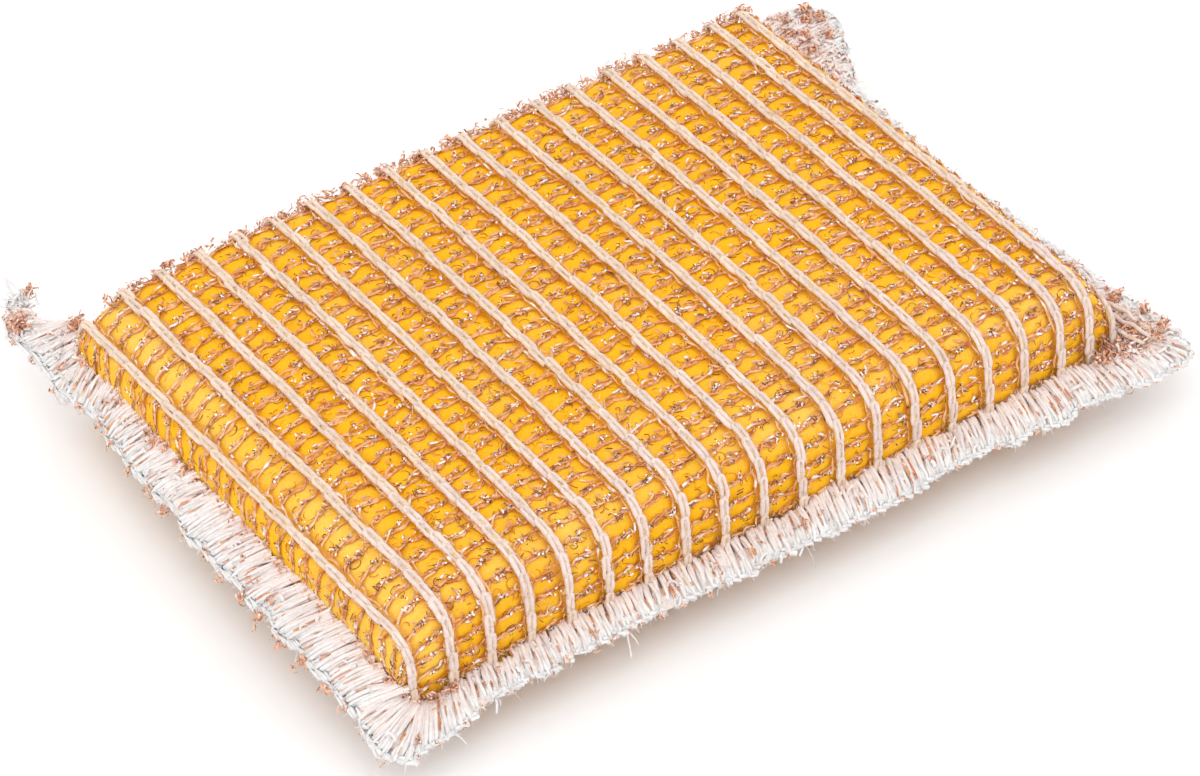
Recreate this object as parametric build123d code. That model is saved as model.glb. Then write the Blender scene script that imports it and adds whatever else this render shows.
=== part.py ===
from build123d import *
import math
import os

# A pot scrubber: a block of foam in a knitted net, closed by overlock seams on three sides.
# X runs along the pad, Y from its front seam to its back fold, Z up. All sizes in millimetres.
# The origin lies on the resting surface, under the middle chain, midway from front to back.

# Padded body, measured over the chains
body_length = 116.2
body_width = 81.0
seam_height = 10.5
top_rise = 11.1
crown_rise = 1.0
flat_cut = 0.5

# Rounded edges: how far in from its edge each side rounds off, and how square the round is;
# the right side slopes down to its seam, nearly straight
left_edge = 30.0
right_edge = 5.0
front_edge = 10.0
back_edge = 3.8
edge_fullness = 3.85
right_fullness = 1.4

# Yarn chains that run round the body from front seam to front seam
chain_count = 19
left_margin = 1.7
right_margin = 5.1
chain_width = 1.9
chain_thickness = 1.3
side_chain_width = 1.8
side_chain_thickness = 0.6
side_chain_height_share = 0.7

# Copper tape laid across between the chains, one crossing to a stitch
stitch_pitch = 3.05
crossing_depth = 0.6
web_depth = 0.95
crossing_slant_share = 0.35
left_panel_depth = 0.15

# Overlock seams
front_seam_width = 5.4
left_seam_width = 4.4
right_seam_width = 4.6
seam_thickness = 2.6
seam_lip = 2.2
seam_edge_thickness = 1.3
front_seam_drop = 2.4
front_seam_droop = 1.0
left_seam_droop = 2.2
right_seam_droop = 1.2
seam_wave_pitch = 7.5
seam_wave_depth = 0.5
seam_corner_length = 3.6
front_left_reach = 2.0
front_right_reach = 3.4

# Loose ends of the side seams
tail_length = 14.0
tail_width = 6.2
tail_end_width = 4.2
tail_inset = 1.8
tail_shift = 1.6
tail_sag = 1.5
flap_length = 15.6
flap_width = 13.2
flap_lift = 1.6

# Fits
net_clearance = 0.15

# Directions round a ring of the body: front edge, top and back edge make three turns, and so back under
half_ring = 3
ring_turns = 2 * half_ring
edge_steps = 4
top_steps = 5

# Places that follow from the sizes
chain_pitch = (body_length - left_margin - right_margin) / (chain_count - 1)
body_left = -left_margin - chain_pitch * (chain_count - 1) / 2
body_right = body_left + body_length
body_middle = (body_left + body_right) / 2
left_centre = body_left + left_edge
right_centre = body_right - right_edge
front_line = -body_width / 2
back_line = body_width / 2
front_centre = front_line + front_edge
back_centre = back_line - back_edge
foam_depth = chain_thickness + net_clearance
side_panel_depth = side_chain_thickness + net_clearance
under_drop = seam_height + flat_cut


def rounding(angle_share, fullness=edge_fullness):
    """How far out and how far up a rounded edge is, at a share of its quarter turn."""
    angle = math.radians(90) * angle_share
    out_share = max(math.cos(angle), 0) ** (2 / fullness)
    up_share = max(math.sin(angle), 0) ** (2 / fullness)
    return out_share, up_share


def faceted(outlines):
    """Solid with flat facets, through outlines of equally many corners."""
    facets = [Face(Wire.make_polygon(outlines[0], close=True))]
    facets.append(Face(Wire.make_polygon(outlines[-1], close=True)))
    for near, far in zip(outlines, outlines[1:]):
        for corner, here in enumerate(near):
            beyond = far[corner]
            near_next = near[corner - 1]
            far_next = far[corner - 1]
            facets.append(Face(Wire.make_polygon([near_next, here, beyond], close=True)))
            facets.append(Face(Wire.make_polygon([near_next, beyond, far_next], close=True)))
    return Solid(Shell(facets))


def height_share(x, depth):
    """Share of the full height that a layer of the body has at x, as its two side edges round off."""
    out_share = 0
    fullness = edge_fullness
    if x < left_centre:
        out_share = (left_centre - x) / (left_edge - depth)
    if x > right_centre:
        out_share = (x - right_centre) / (right_edge - depth)
        fullness = right_fullness
    return (1 - min(out_share, 1) ** fullness) ** (1 / fullness)


def crown(x, y):
    """Extra rise of the top over its shoulders."""
    lengthwise = 1 - ((x - body_middle) / (body_length / 2)) ** 2
    crosswise = 1 - (y / (body_width / 2)) ** 2
    return crown_rise * lengthwise * crosswise


def ring_point(turn, depth, x):
    """Point of a ring round the body at x, on the layer at this depth under the chains' crests."""
    along = min(turn, ring_turns - turn)
    if along <= 1:
        out_share, up_share = rounding(along)
        y = front_centre - (front_edge - depth) * out_share
    elif along <= 2:
        up_share = 1
        y = front_centre + (back_centre - front_centre) * (along - 1)
    else:
        out_share, up_share = rounding(half_ring - along)
        y = back_centre + (back_edge - depth) * out_share
    opening = net_clearance * max(0, 1 - along)
    share = up_share * height_share(x, depth)
    if turn <= half_ring:
        z = seam_height + opening + (top_rise + crown(x, y) - depth) * share
    else:
        z = seam_height - opening - (under_drop - depth) * share
    return Vector(x, y, z)


def ring_stations():
    """Turns at which a ring has its corners: the crowned top has some, the level underside none."""
    front = [step / edge_steps for step in range(edge_steps + 1)]
    top = [1 + step / top_steps for step in range(1, top_steps)]
    back = [2 + step / edge_steps for step in range(edge_steps + 1)]
    under = [ring_turns - turn for turn in reversed(front + back[:-1])]
    return front + top + back + under


stations = ring_stations()


def turns_by_length():
    """Turns of the middle ring, and the length of ring up to each."""
    fine_steps = 40
    turns = [step / fine_steps for step in range(ring_turns * fine_steps + 1)]
    points = [ring_point(turn, crossing_depth, 0) for turn in turns]
    lengths = [0]
    for before, after in zip(points, points[1:]):
        lengths.append(lengths[-1] + (after - before).length)
    return turns, lengths


ring_table, length_table = turns_by_length()
crossing_count = round(length_table[-1] / stitch_pitch)


def turn_at(length_share):
    """Turn at which this share of the middle ring's length is passed."""
    wanted = min(max(length_share, 0), 1) * length_table[-1]
    place = 1
    while length_table[place] < wanted and place < len(length_table) - 1:
        place += 1
    before, after = length_table[place - 1], length_table[place]
    share = (wanted - before) / (after - before)
    return ring_table[place - 1] + share * (ring_table[place] - ring_table[place - 1])


def surface_normal(turn, x):
    """Inward normal of the outermost layer."""
    nudge_share = 0.001
    step = chain_width * nudge_share
    low = max(turn - nudge_share, 0)
    high = min(turn + nudge_share, ring_turns)
    lengthwise = ring_point(turn, 0, x + step) - ring_point(turn, 0, x - step)
    around = ring_point(high, 0, x) - ring_point(low, 0, x)
    return around.cross(lengthwise).normalized(), around.normalized()


def chain_section(turn, x, width, thickness):
    """Four corners of a chain where it crosses this turn of its ring."""
    inward, around = surface_normal(turn, x)
    sideways = inward.cross(around).normalized() * (width / 2)
    crest = ring_point(turn, 0, x)
    base = crest + inward * thickness
    return [crest - sideways, crest + sideways, base + sideways, base - sideways]


def chain(x, width, thickness):
    """One yarn chain: a flat band round the body, pressed flat where the pad rests on it."""
    sections = [chain_section(turn, x, width, thickness) for turn in stations]
    band = faceted(sections)
    return split(band, bisect_by=Plane.XY, keep=Keep.TOP)


def chain_lean(x):
    """How far a chain's base stands inward of its crest, to the side, on a sloping flank."""
    inward, around = surface_normal(half_ring / 2, x)
    level_share = abs(inward.Z)
    return abs(inward.X) * chain_thickness - (1 - level_share) * chain_width / 2


def tape_outline(x, shift_share):
    """Outline of a tape panel at x: crossings and webs outside, the foam's round inside."""
    outer = []
    last = 2 * crossing_count
    for place in range(last + 1):
        shift = shift_share if 0 < place < last else 0
        turn = turn_at((place + 2 * shift) / last)
        depth = crossing_depth if place % 2 else web_depth
        outer.append(ring_point(turn, depth, x))
    inner = [ring_point(turn, chain_thickness, x) for turn in reversed(stations)]
    return outer + inner


def tape_panel(x_left, x_right):
    """The copper tape between two chains, with one slanting crossing to a stitch."""
    slant = crossing_slant_share / 2
    sections = [tape_outline(x_left, -slant), tape_outline(x_right, slant)]
    return faceted(sections)


def ring_outline(x, depth):
    """Closed outline of the body at x, on one layer."""
    return [ring_point(turn, depth, x) for turn in stations]


def body_block(places, depth):
    """Solid body through its outlines at these places, on one layer."""
    return faceted([ring_outline(x, depth) for x in places])


def edge_places(depth, centre, edge, way, fullness):
    """Places where a side edge has its outlines, from its wall inward."""
    places = []
    for angle_share in (0.04, 0.25, 0.45, 0.7, 1):
        out_share, up_share = rounding(angle_share, fullness)
        places.append(centre + way * (edge - depth) * out_share)
    return places


# The chains' places along the pad, and the free space between each two
chain_places = [(place - (chain_count - 1) / 2) * chain_pitch for place in range(chain_count)]
panel_spans = []
for x, next_x in zip(chain_places, chain_places[1:]):
    near_side = x + chain_width / 2 + max(chain_lean(x), 0) + net_clearance
    far_side = next_x - chain_width / 2 - net_clearance
    panel_spans.append((near_side, far_side))


def foam_core():
    """The foam block, its flanks faceted where the tape panels over them begin and end."""
    wall = [x for x in edge_places(foam_depth, left_centre, left_edge, -1, edge_fullness) if x < panel_spans[0][0]]
    flank = [x for span in panel_spans if span[0] < left_centre for x in span]
    top = [x for x in chain_places[::3] if flank[-1] < x < right_centre]
    right = reversed(edge_places(foam_depth, right_centre, right_edge, 1, right_fullness))
    return body_block(wall + flank + top + list(right), foam_depth)


def left_panel():
    """The net on the left wall, between the seam and the first chain."""
    wall = edge_places(left_panel_depth, left_centre, left_edge, -1, edge_fullness)[0]
    end = chain_places[0] - chain_width / 2 - net_clearance
    return body_block([wall, (wall + end) / 2, end], left_panel_depth)


def right_panel():
    """The net from the last chain over the right edge and down its wall."""
    start = chain_places[-1] + chain_width / 2 + net_clearance
    outer_places = edge_places(side_panel_depth, right_centre, right_edge, 1, right_fullness)
    inner_places = edge_places(chain_thickness, right_centre, right_edge, 1, right_fullness)
    outer = body_block([start] + list(reversed(outer_places)), side_panel_depth)
    inner = body_block([start - chain_width] + list(reversed(inner_places)), chain_thickness)
    return outer - inner


def seam_section(place, width, droop, lip_share=1):
    """Corners of a seam's section, as distances out from the body and heights over the seam plane."""
    lip = seam_lip / 2 * lip_share
    bulge = seam_thickness / 2 * lip_share
    rim = seam_edge_thickness / 2 * lip_share
    corners = [(0, lip), (0.35, bulge), (0.85, bulge), (1, rim), (1, -rim), (0.85, -bulge)]
    corners += [(0.35, -bulge), (0, -lip)]
    return [(share * width, height - droop * share ** 2) for share, height in corners]


def seam_places(start, end):
    """Places along a seam where its edge is furthest out or in."""
    steps = max(2, round((end - start) / (seam_wave_pitch / 2)))
    return [start + (end - start) * step / steps for step in range(steps + 1)]


def wave(step):
    """How far the seam's edge is pushed out at a step along it."""
    swell_shares = (1, -0.6, 0.5, -1, 0.8, -0.3)
    return seam_wave_depth * swell_shares[step % len(swell_shares)]


def front_seam():
    """Overlock seam along the whole front, a little lower and drawn out past the side seams."""
    left_end = body_left - left_seam_width - front_left_reach
    right_end = body_right + right_seam_width + front_right_reach
    inner = front_line - net_clearance
    fastened = seam_height - front_seam_drop
    sections = []
    for step, x in enumerate(seam_places(left_end, right_end)):
        inset = max(min(x - left_end, right_end - x), 0) / seam_corner_length
        fullness = 1 if inset >= 1 else math.sqrt(1 - (1 - inset) ** 2) * 0.55 + 0.45
        width = (front_seam_width + wave(step)) * fullness
        corners = seam_section(x, width, front_seam_droop, fullness)
        sections.append([Vector(x, inner - out, fastened + up) for out, up in corners])
    return faceted(sections)


def side_seam(start, end, inner, way, width, droop):
    """Overlock seam along a short side, from the front seam to the back."""
    sections = []
    for step, y in enumerate(seam_places(start, end)):
        corners = seam_section(y, width + wave(step), droop)
        sections.append([Vector(inner + way * out, y, seam_height + up) for out, up in corners])
    return faceted(sections)


left_inner = body_left - net_clearance
right_inner = body_right + net_clearance
flap_start = back_line - flap_length / 2 - net_clearance
left_seam_end = back_line + chain_width


def left_seam():
    """Seam on the left side."""
    return side_seam(front_line, left_seam_end, left_inner, -1, left_seam_width, left_seam_droop)


def right_seam():
    """Seam on the right side, up to the loose flap at its end."""
    return side_seam(front_line, flap_start, right_inner, 1, right_seam_width, right_seam_droop)


def tail():
    """Loose end of the left seam, run on past the fold, narrowing, bending inward and sagging."""
    start = left_seam_end + net_clearance
    sections = []
    for share in (0, 0.3, 0.6, 0.85, 1):
        y = start + tail_length * share
        width = tail_width + (tail_end_width - tail_width) * share
        corners = seam_section(y, width, left_seam_droop)
        shift = tail_inset + tail_shift * share ** 2
        sag = tail_sag * share
        sections.append([Vector(left_inner + shift - out, y, seam_height + up - sag) for out, up in corners])
    return faceted(sections)


def flap():
    """Loose end of the right seam, spread into a broad ragged flap."""
    start = flap_start + net_clearance
    width_shares = (0.55, 0.8, 0.95, 0.9, 1, 0.7)
    inner_shares = (0, 0, 0, 0.05, 0.15, 0.3)
    sections = []
    for step, width_share in enumerate(width_shares):
        share = step / (len(width_shares) - 1)
        y = start + flap_length * share
        inset = flap_width * inner_shares[step]
        corners = seam_section(y, flap_width * width_share - inset, right_seam_droop)
        rise = flap_lift * share
        sections.append([Vector(right_inner + inset + out, y, seam_height + up + rise) for out, up in corners])
    return faceted(sections)


def side_chain():
    """The one chain on the right slope, where the net turns down to the seam."""
    out_share = (1 - side_chain_height_share ** right_fullness) ** (1 / right_fullness)
    x = right_centre + right_edge * out_share
    return chain(x, side_chain_width, side_chain_thickness)


def write(name, shape):
    """Keep one piece under its name."""
    shape.label = name
    export_step(shape, f"parts/{name}.step")


os.makedirs("parts", exist_ok=True)
write("foam_core", foam_core())
for number, x in enumerate(chain_places, start=1):
    write(f"chain_{number:02d}", chain(x, chain_width, chain_thickness))
write(f"chain_{chain_count + 1:02d}", side_chain())
for number, (x_left, x_right) in enumerate(panel_spans, start=1):
    write(f"tape_panel_{number:02d}", tape_panel(x_left, x_right))
write("tape_panel_left_side", left_panel())
write("tape_panel_right_side", right_panel())
write("overlock_front", front_seam())
write("overlock_left", left_seam())
write("overlock_right", right_seam())
write("seam_tail_back_left", tail())
write("seam_flap_back_right", flap())
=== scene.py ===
import math

import bpy
import numpy as np
from mathutils import Matrix, Vector


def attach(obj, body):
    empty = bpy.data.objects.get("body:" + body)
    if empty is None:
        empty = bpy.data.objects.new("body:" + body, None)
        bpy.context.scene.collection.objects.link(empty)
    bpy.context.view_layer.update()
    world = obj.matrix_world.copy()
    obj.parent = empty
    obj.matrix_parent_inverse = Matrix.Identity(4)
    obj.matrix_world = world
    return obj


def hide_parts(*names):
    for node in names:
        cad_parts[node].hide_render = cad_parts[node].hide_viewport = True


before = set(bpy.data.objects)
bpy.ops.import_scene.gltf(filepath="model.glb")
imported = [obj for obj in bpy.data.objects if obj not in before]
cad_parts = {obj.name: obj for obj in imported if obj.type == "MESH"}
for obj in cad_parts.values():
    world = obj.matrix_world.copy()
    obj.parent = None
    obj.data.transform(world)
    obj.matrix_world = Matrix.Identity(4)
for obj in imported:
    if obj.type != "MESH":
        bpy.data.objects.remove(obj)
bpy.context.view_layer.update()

MM = 0.001
SEED = 20

# Padded body, measured over the chains
BODY_LENGTH = 116.2 * MM
BODY_WIDTH = 81.0 * MM
SEAM_HEIGHT = 10.5 * MM
TOP_RISE = 11.1 * MM
CROWN_RISE = 1.0 * MM
FLAT_CUT = 0.5 * MM
LEFT_EDGE = 30.0 * MM
RIGHT_EDGE = 5.0 * MM
FRONT_EDGE = 10.0 * MM
BACK_EDGE = 3.8 * MM
EDGE_FULLNESS = 3.85
RIGHT_FULLNESS = 1.4

# Net
CHAIN_COUNT = 19
LEFT_MARGIN = 1.7 * MM
RIGHT_MARGIN = 5.1 * MM
CHAIN_PITCH = (BODY_LENGTH - LEFT_MARGIN - RIGHT_MARGIN) / (CHAIN_COUNT - 1)
STITCH_PITCH = 3.05 * MM
FOAM_DEPTH = 1.35 * MM
SIDE_CHAIN_HEIGHT_SHARE = 0.6
NET_DRAW = 0.3 * MM
NET_DRAW_ARCS = 1.4
LAST_CHAIN_DRAW = 1.2 * MM
FLOOR_GAP = 0.3 * MM

# Yarn of the chains
CORE_RADIUS = 0.36 * MM
CORE_DEPTH = 0.70 * MM
LINK_RADIUS = 0.31 * MM
NECK_RADIUS = 0.28 * MM
NECK_DEPTH = 0.55 * MM
FIBRES_PER_STITCH = 30

# Tape, its rows counted as stitches from the front seam over the top
ROW_GAP = 0.02
SIDE_GAP = 0.6 * MM
FRONT_ROWS_ABOVE = 8
FRONT_ROWS_UNDER = 7
UNDER_START_SHARE = 0.53
UNDER_END_ROWS = 4
UNDER_DETAIL_SHARE = 0.3
BACK_EDGE_TURN = 2.3

# Seams, in millimetres: inner x, y, z, outer x, y, z and thickness at places along each
FRONT_SEAM = (
    (-56.1, -38.6, 8.9, -61.1, -38.0, 7.4, 2.2), (-55.9, -40.0, 8.0, -61.9, -41.8, 7.0, 2.2),
    (-55.3, -40.8, 7.3, -61.9, -44.8, 6.7, 2.2), (-54.3, -41.1, 6.9, -59.3, -46.6, 6.5, 2.2),
    (-52.7, -41.1, 6.7, -55.7, -46.0, 6.4, 2.2), (-49.2, -40.9, 6.8, -50.2, -45.2, 6.5, 2.2),
    (-44.7, -40.7, 7.3, -45.1, -44.0, 6.9, 2.2), (-38.7, -40.5, 7.7, -38.9, -44.0, 7.1, 2.2),
    (-30.7, -40.5, 7.8, -30.7, -43.9, 7.2, 2.2), (-18.7, -40.5, 7.8, -18.9, -44.2, 7.2, 2.2),
    (-4.7, -40.5, 7.8, -4.9, -44.6, 7.2, 2.2), (9.3, -40.5, 8.0, 8.9, -44.2, 7.2, 2.2),
    (19.3, -40.5, 8.1, 18.9, -44.6, 7.2, 2.2), (29.3, -40.5, 8.2, 28.9, -43.7, 7.3, 2.2),
    (37.3, -40.5, 8.3, 37.1, -44.6, 7.4, 2.2), (44.3, -40.6, 8.4, 44.3, -45.6, 7.6, 2.2),
    (49.3, -41.0, 8.5, 49.7, -45.0, 7.8, 2.2), (54.3, -41.8, 8.7, 55.3, -46.2, 8.0, 2.2),
    (58.8, -42.8, 8.9, 60.3, -47.0, 8.2, 2.2), (61.8, -43.6, 9.1, 64.1, -47.0, 8.5, 2.2),
    (63.2, -43.6, 9.3, 66.2, -46.2, 8.8, 2.2), (63.6, -43.2, 9.4, 66.8, -44.2, 9.0, 2.2))
LEFT_SEAM = (
    (-56.2, -39.4, 9.8, -60.9, -37.4, 7.8, 2.2), (-56.1, -32.0, 10.2, -60.3, -30.8, 8.0, 2.3),
    (-56.1, -20.0, 10.3, -60.9, -18.6, 8.0, 2.3), (-56.1, -5.0, 10.3, -60.2, -3.8, 8.0, 2.3),
    (-56.1, 10.0, 10.3, -59.5, 11.2, 8.0, 2.3), (-56.1, 22.0, 10.3, -58.7, 22.6, 8.2, 2.3),
    (-55.9, 32.0, 10.5, -58.0, 30.6, 8.8, 2.4), (-54.9, 40.0, 10.9, -60.1, 36.0, 9.4, 2.7))
TAIL = (
    (-54.6, 38.6, 11.0, -60.1, 35.6, 9.4, 2.7), (-54.0, 41.4, 11.2, -59.8, 39.4, 10.0, 2.9),
    (-54.6, 43.8, 11.3, -59.6, 42.8, 10.2, 3.1), (-55.9, 45.8, 11.3, -59.5, 46.2, 10.3, 3.1),
    (-56.9, 47.8, 11.4, -59.8, 48.8, 10.4, 2.9), (-57.2, 50.2, 11.5, -59.7, 51.0, 10.5, 2.7),
    (-56.8, 52.4, 11.6, -58.8, 53.0, 10.6, 2.3))
RIGHT_SEAM = (
    (63.6, -43.2, 9.5, 66.8, -44.2, 9.0, 2.2), (62.8, -39.8, 9.8, 66.4, -40.2, 9.2, 2.2),
    (61.8, -36.0, 10.2, 66.0, -36.2, 9.3, 2.2), (61.3, -32.0, 10.4, 65.0, -32.2, 9.4, 2.2),
    (61.2, -28.0, 10.5, 64.7, -28.2, 9.5, 2.2), (60.7, -23.5, 10.5, 64.9, -23.6, 9.6, 2.2),
    (60.1, -18.0, 10.5, 64.1, -18.0, 9.6, 2.2), (60.0, -9.0, 10.5, 64.0, -9.0, 9.6, 2.2),
    (60.0, 0.0, 10.5, 62.9, 0.0, 9.6, 2.2), (60.0, 10.0, 10.5, 63.4, 10.0, 9.6, 2.2),
    (60.1, 20.0, 10.5, 64.0, 19.4, 9.8, 2.2), (60.2, 26.4, 10.5, 64.0, 26.0, 10.0, 2.4))
FLAP = (
    (60.2, 26.4, 10.5, 63.9, 26.0, 10.0, 2.4), (60.6, 29.5, 10.7, 66.4, 29.6, 10.3, 2.6),
    (60.8, 32.5, 10.8, 67.8, 33.2, 10.4, 2.8), (60.9, 36.0, 10.9, 70.4, 37.4, 10.6, 3.0),
    (60.9, 39.6, 11.0, 71.2, 41.2, 10.8, 3.0), (61.1, 42.0, 11.0, 69.6, 44.0, 10.8, 3.0),
    (61.4, 43.2, 11.0, 66.8, 44.6, 10.8, 2.8), (61.6, 43.6, 10.9, 64.4, 44.4, 10.7, 2.4))
SEAMS = (
    ("seam_front", ["overlock_front"], FRONT_SEAM, dict(lean=-1.25, curls=0.9, lower_fluff=1.4)),
    ("seam_left", ["overlock_left"], LEFT_SEAM, dict(lean=2.0, scallop=0.8, tufts=(5.0, 18, 1.1))),
    ("seam_tail", ["seam_tail_back_left"], TAIL,
     dict(lean=3.4, curls=1.3, fluff=1.5, tufts=(4.5, 6, 0.5), loops=5)),
    ("seam_right", ["overlock_right"], RIGHT_SEAM,
     dict(lean=-0.8, fluff=1.6, tufts=(3.6, 7, 0.7), loops=5)),
    ("seam_flap", ["seam_flap_back_right"], FLAP,
     dict(lean=1.2, fluff=2.2, scallop=1.1, tufts=(4.0, 8, 0.6), loops=13, tint=(1.06, 0.95, 0.91))))

# Tufts and loops at the corners, in millimetres: x, y and z, and for the tail also reach and number
FLAP_CURLS = (
    (64.2, 42.4, 12.9), (68.2, 42.6, 12.9), (67.0, 40.4, 12.9), (64.3, 37.4, 12.9), (62.8, 39.0, 12.9),
    (62.8, 34.2, 12.9), (67.4, 35.6, 12.9), (68.8, 39.8, 12.9))
EAR_CURLS = (
    (62.1, -34.3, 12.0), (63.4, -33.9, 12.0), (64.5, -38.3, 12.0), (64.6, -42.0, 12.0), (62.4, -43.6, 12.0),
    (62.1, -25.8, 12.0))
EAR_LOOPS = (
    (57.6, -40.6, 9.6), (59.4, -38.8, 9.6), (60.8, -36.6, 9.6), (60.8, -40.8, 9.6), (59.0, -42.4, 9.6),
    (62.2, -42.0, 9.6), (61.0, -33.4, 9.6))
EAR_STRANDS = (
    ((58.4, -32.0, 13.2), (60.9, -34.4, 12.0), (61.9, -38.0, 11.7), (62.9, -41.4, 11.4)),
    ((58.0, -33.4, 12.8), (60.0, -36.8, 12.0), (61.0, -40.0, 11.7), (62.0, -43.0, 11.2)),
    ((57.0, -35.0, 12.4), (58.4, -38.6, 11.8), (59.4, -41.2, 11.4), (60.2, -43.2, 11.0)))
TAIL_TUFTS = ((-58.6, 49.2, 12.4, 1.6, 110), (-53.8, 55.0, 12.0, 0.8, 24), (-53.0, 43.8, 12.8, 1.4, 70))
THREAD_PITCH = 0.76 * MM
THREAD_RADIUS = 0.42 * MM
TUCK = 1.1 * MM
PLIES = 3
PLY_OFFSET = 0.21 * MM
SEAM_CORE_WIDTH = 4.6 * MM

# Places that follow
BODY_LEFT = -LEFT_MARGIN - CHAIN_PITCH * (CHAIN_COUNT - 1) / 2
BODY_RIGHT = BODY_LEFT + BODY_LENGTH
BODY_MIDDLE = (BODY_LEFT + BODY_RIGHT) / 2
LEFT_CENTRE = BODY_LEFT + LEFT_EDGE
RIGHT_CENTRE = BODY_RIGHT - RIGHT_EDGE
FRONT_CENTRE = -BODY_WIDTH / 2 + FRONT_EDGE
BACK_CENTRE = BODY_WIDTH / 2 - BACK_EDGE
UNDER_DROP = SEAM_HEIGHT + FLAT_CUT
HALF_RING = 3
RING_TURNS = 2 * HALF_RING

# Colours, linear
FOAM_DEEP = np.array((1.0, 0.50, 0.012))
# Paler yellow, for the painted highlight on the shoulders and for the random mottling
FOAM_LIGHT = np.array((1.0, 0.60, 0.10))
# White yarn with the yellow light it takes from the foam painted into its colour
YARN_WITH_FOAM_LIGHT = np.array((0.88, 0.70, 0.57))
SEAM_INNER = np.array((1.0, 0.89, 0.85))
SEAM_OUTER = np.array((0.92, 0.91, 0.90))
SLIVER = np.array((0.68, 0.27, 0.17))
TAPE_PALE = np.array((0.95, 0.60, 0.30))
TAPE_PINK = np.array((0.92, 0.46, 0.17))
TAPE_COPPER = np.array((0.78, 0.28, 0.07))
# Dark brown of the tape's darkened edges and dark folds, and of the painted dark reflections beside glints
TAPE_DARK = np.array((0.16, 0.05, 0.02))
CURL_PALE = np.array((0.98, 0.66, 0.48))
CURL_DEEP = np.array((0.86, 0.39, 0.22))
# White of the painted glints
TAPE_GLINT = np.array((1.0, 0.98, 0.95))


def blended(first, second, share):
    """From the first value to the second by a share."""
    return first * (1 - share) + second * share


def unit_of(ways):
    """Directions of unit length."""
    return ways / np.maximum(np.linalg.norm(ways, axis=-1, keepdims=True), 1e-12)


def lengths_along(points):
    """Length of a line of points up to each of them."""
    return np.concatenate([[0], np.cumsum(np.linalg.norm(np.diff(points, axis=0), axis=1))])


def rounding(angle_share, fullness=EDGE_FULLNESS):
    """How far out and how far up a rounded edge is, at shares of its quarter turn."""
    angle = np.radians(90) * np.clip(angle_share, 0, 1)
    out_share = np.maximum(np.cos(angle), 0) ** (2 / fullness)
    up_share = np.maximum(np.sin(angle), 0) ** (2 / fullness)
    return out_share, up_share


def across_table():
    """Where the net lies across the pad, by its length measured from the left seam."""
    steps = 400
    left_out, left_up = rounding(np.linspace(0, 1, steps))
    right_out, right_up = rounding(np.linspace(0, 1, steps), RIGHT_FULLNESS)
    flat = np.linspace(LEFT_CENTRE, RIGHT_CENTRE, steps)[1:-1]
    base = np.concatenate([np.full(steps, LEFT_CENTRE), flat, np.full(steps, RIGHT_CENTRE)])
    out = np.concatenate([-left_out, np.zeros(steps - 2), right_out[::-1]])
    up = np.concatenate([left_up, np.ones(steps - 2), right_up[::-1]])
    x = base + out * np.where(out < 0, LEFT_EDGE, RIGHT_EDGE)
    z = (TOP_RISE + CROWN_RISE) * up
    length = np.concatenate([[0], np.cumsum(np.hypot(np.diff(x), np.diff(z)))])
    return length, base, out, up, x


ACROSS, ACROSS_BASE, ACROSS_OUT, ACROSS_UP, ACROSS_X = across_table()


def across_at(x):
    """Length across the net at which it lies over x."""
    return np.interp(x, ACROSS_X, ACROSS)


def ring_shares(turn):
    """How far out to front or back, how far up, and the straight share, at turns of a ring."""
    along = np.minimum(turn, RING_TURNS - turn)
    front_out, front_up = rounding(along)
    back_out, back_up = rounding(HALF_RING - along)
    middle = np.clip(along - 1, 0, 1)
    out = np.where(along < 1, -front_out, np.where(along > 2, back_out, 0))
    up = np.where(along < 1, front_up, np.where(along > 2, back_up, 1))
    edge = np.where(along < 1.5, FRONT_EDGE, BACK_EDGE)
    return out, up, edge, middle


def surface(across, turn, depth):
    """Points of the pad's layers, by length across, turn round the pad and depth under the crests."""
    across, turn, depth = np.broadcast_arrays(*(np.asarray(v, float) for v in (across, turn, depth)))
    base = np.interp(across, ACROSS, ACROSS_BASE)
    side_out = np.interp(across, ACROSS, ACROSS_OUT)
    side_up = np.interp(across, ACROSS, ACROSS_UP)
    side_edge = np.where(across < ACROSS[-1] / 2, LEFT_EDGE, RIGHT_EDGE)
    x = base + side_out * (side_edge - depth)
    out, up, edge, middle = ring_shares(turn)
    y = FRONT_CENTRE + (BACK_CENTRE - FRONT_CENTRE) * middle + out * (edge - depth)
    lengthwise = 1 - ((x - BODY_MIDDLE) / (BODY_LENGTH / 2)) ** 2
    crosswise = 1 - (y / (BODY_WIDTH / 2)) ** 2
    crown = CROWN_RISE * np.maximum(lengthwise, 0) * np.maximum(crosswise, 0)
    top = SEAM_HEIGHT + (TOP_RISE + crown - depth) * up * side_up
    under = SEAM_HEIGHT - (UNDER_DROP - depth) * up * side_up
    z = np.where(turn <= HALF_RING, top, under)
    return np.stack([x, y, z], axis=-1)


def ring_table():
    """Turns of the middle ring, and the length of ring up to each."""
    turns = np.linspace(0, RING_TURNS, 1201)
    return turns, lengths_along(surface(across_at(0), turns, 0))


RING_TURN, RING_LENGTH = ring_table()
ROWS = int(round(RING_LENGTH[-1] / STITCH_PITCH))


def turn_at(row):
    """Turn of the ring at a row of stitches, counted from the front seam over the top."""
    return np.interp(np.asarray(row, float) / ROWS * RING_LENGTH[-1], RING_LENGTH, RING_TURN)


def outward(across, turn, depth):
    """Unit direction out of the pad."""
    step = 0.05 * MM
    return unit_of(surface(across, turn, depth - step) - surface(across, turn, depth + step))


def pad(across, row, depth):
    """Point and outward direction at a length across, a row and a depth."""
    turn = turn_at(row)
    return surface(across, turn, depth), outward(across, turn, depth)


def tangents(points):
    """Unit directions along a line of points."""
    return unit_of(np.gradient(points, axis=0))


def placed(name, data):
    """A new object in the scene."""
    made = bpy.data.objects.new(name, data)
    bpy.context.scene.collection.objects.link(made)
    return made


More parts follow.
